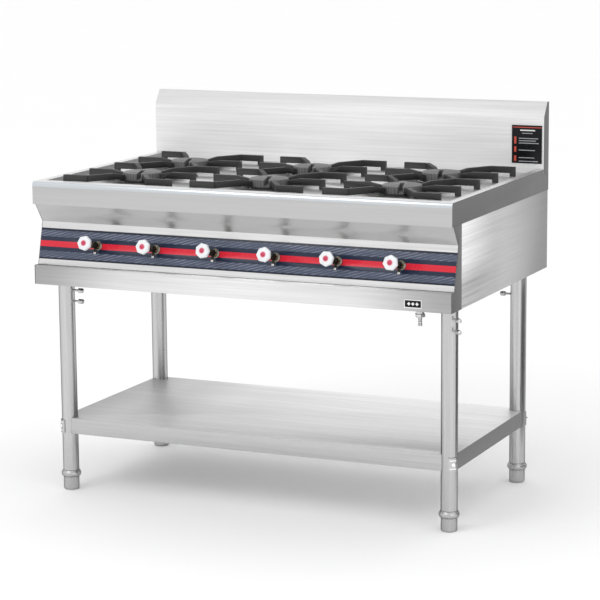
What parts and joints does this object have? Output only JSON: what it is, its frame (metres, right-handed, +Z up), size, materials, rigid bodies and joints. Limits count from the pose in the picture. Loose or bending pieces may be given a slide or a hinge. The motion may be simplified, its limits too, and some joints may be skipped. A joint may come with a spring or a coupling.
{
  "type": "commercial gas range",
  "caption": "Free-standing stainless gas range: sunken burner deck, lift-off cast-iron grates, needle-valve handwheels, tall backsplash, tube legs with levelling feet and a lower shelf.",
  "frame": {"origin": "on the floor, under the middle of the whole object's box", "axes": "+X to the user's right, +Y to the back, +Z up"},
  "size_m": [1.2018, 0.8124, 1.052],
  "materials": {
    "brushed_steel": "brushed along the sheet, bright",
    "tube_steel": "polished tube, fine rings of grain",
    "plain_steel": "plain matt sheet, darker than the rest",
    "zinc_steel": "zinc-plated hardware",
    "foot_steel": "satin",
    "painted_pipe": "grey paint on pipe and frame",
    "cast_iron": "black enamelled casting, slightly rough",
    "burner_iron": "bare grey casting",
    "brass": "dull machined brass",
    "knob_plastic": "white moulded, red centre cap",
    "overlay": "printed film: navy with slate hatching and a red stripe",
    "notice": null,
    "badge": null
  },
  "bodies": {
    "stove": {"deck_top": "brushed_steel", "backsplash": "brushed_steel", "left_side_panel": "brushed_steel", "right_side_panel": "brushed_steel", "left_end_cap": "plain_steel", "right_end_cap": "plain_steel", "control_panel": "brushed_steel", "control_overlay": "overlay", "lower_fascia": "brushed_steel", "back_panel": "brushed_steel", "notice_plate": "notice", "badge_plate": "badge", "chassis": "painted_pipe", "burner_1": "burner_iron", "burner_2": "burner_iron", "burner_3": "burner_iron", "burner_4": "burner_iron", "burner_5": "burner_iron", "burner_6": "burner_iron", "gas_manifold": "painted_pipe", "gas_inlet": "brass", "pilot_rail": "painted_pipe", "valve_1": "brass", "valve_2": "brass", "valve_3": "brass", "valve_4": "brass", "valve_5": "brass", "valve_6": "brass", "leg_front_left": "tube_steel", "thumb_screw_front_left_1": "zinc_steel", "thumb_screw_front_left_2": "zinc_steel", "shelf_clamp_front_left": "zinc_steel", "leg_front_right": "tube_steel", "thumb_screw_front_right_1": "zinc_steel", "thumb_screw_front_right_2": "zinc_steel", "shelf_clamp_front_right": "zinc_steel", "leg_back_left": "tube_steel", "thumb_screw_back_left_1": "zinc_steel", "thumb_screw_back_left_2": "zinc_steel", "shelf_clamp_back_left": "zinc_steel", "leg_back_right": "tube_steel", "thumb_screw_back_right_1": "zinc_steel", "thumb_screw_back_right_2": "zinc_steel", "shelf_clamp_back_right": "zinc_steel", "shelf": "brushed_steel"},
    "handwheel_1": {"knob_1": "knob_plastic"},
    "handwheel_2": {"knob_2": "knob_plastic"},
    "handwheel_3": {"knob_3": "knob_plastic"},
    "handwheel_4": {"knob_4": "knob_plastic"},
    "handwheel_5": {"knob_5": "knob_plastic"},
    "handwheel_6": {"knob_6": "knob_plastic"},
    "grate_left": {"grate_left": "cast_iron"},
    "grate_centre": {"grate_centre": "cast_iron"},
    "grate_right": {"grate_right": "cast_iron"},
    "foot_front_left": {"foot_front_left": "foot_steel"},
    "foot_front_right": {"foot_front_right": "foot_steel"},
    "foot_back_left": {"foot_back_left": "foot_steel"},
    "foot_back_right": {"foot_back_right": "foot_steel"}
  },
  "joints": [
    {"name": "knob_1_turn", "type": "hinge", "parent": "stove", "child": "handwheel_1", "pos_m": [-0.42125, -0.39286, 0.71565], "axis": [0, -0.9711, 0.2385], "range_deg": [0, 360]},
    {"name": "knob_2_turn", "type": "hinge", "parent": "stove", "child": "handwheel_2", "pos_m": [-0.24675, -0.39286, 0.71565], "axis": [0, -0.9711, 0.2385], "range_deg": [0, 360]},
    {"name": "knob_3_turn", "type": "hinge", "parent": "stove", "child": "handwheel_3", "pos_m": [-0.07225, -0.39286, 0.71565], "axis": [0, -0.9711, 0.2385], "range_deg": [0, 360]},
    {"name": "knob_4_turn", "type": "hinge", "parent": "stove", "child": "handwheel_4", "pos_m": [0.10225, -0.39286, 0.71565], "axis": [0, -0.9711, 0.2385], "range_deg": [0, 360]},
    {"name": "knob_5_turn", "type": "hinge", "parent": "stove", "child": "handwheel_5", "pos_m": [0.27675, -0.39286, 0.71565], "axis": [0, -0.9711, 0.2385], "range_deg": [0, 360]},
    {"name": "knob_6_turn", "type": "hinge", "parent": "stove", "child": "handwheel_6", "pos_m": [0.45125, -0.39286, 0.71565], "axis": [0, -0.9711, 0.2385], "range_deg": [0, 360]},
    {"name": "grate_left_lift", "type": "slide", "parent": "stove", "child": "grate_left", "axis": [0, 0, 1], "range_m": [0, 0.15]},
    {"name": "grate_centre_lift", "type": "slide", "parent": "stove", "child": "grate_centre", "axis": [0, 0, 1], "range_m": [0, 0.15]},
    {"name": "grate_right_lift", "type": "slide", "parent": "stove", "child": "grate_right", "axis": [0, 0, 1], "range_m": [0, 0.15]},
    {"name": "foot_front_left_level", "type": "slide", "parent": "stove", "child": "foot_front_left", "axis": [0, 0, 1], "range_m": [-0.03, 0]},
    {"name": "foot_front_right_level", "type": "slide", "parent": "stove", "child": "foot_front_right", "axis": [0, 0, 1], "range_m": [-0.03, 0]},
    {"name": "foot_back_left_level", "type": "slide", "parent": "stove", "child": "foot_back_left", "axis": [0, 0, 1], "range_m": [-0.03, 0]},
    {"name": "foot_back_right_level", "type": "slide", "parent": "stove", "child": "foot_back_right", "axis": [0, 0, 1], "range_m": [-0.03, 0]}
  ]
}
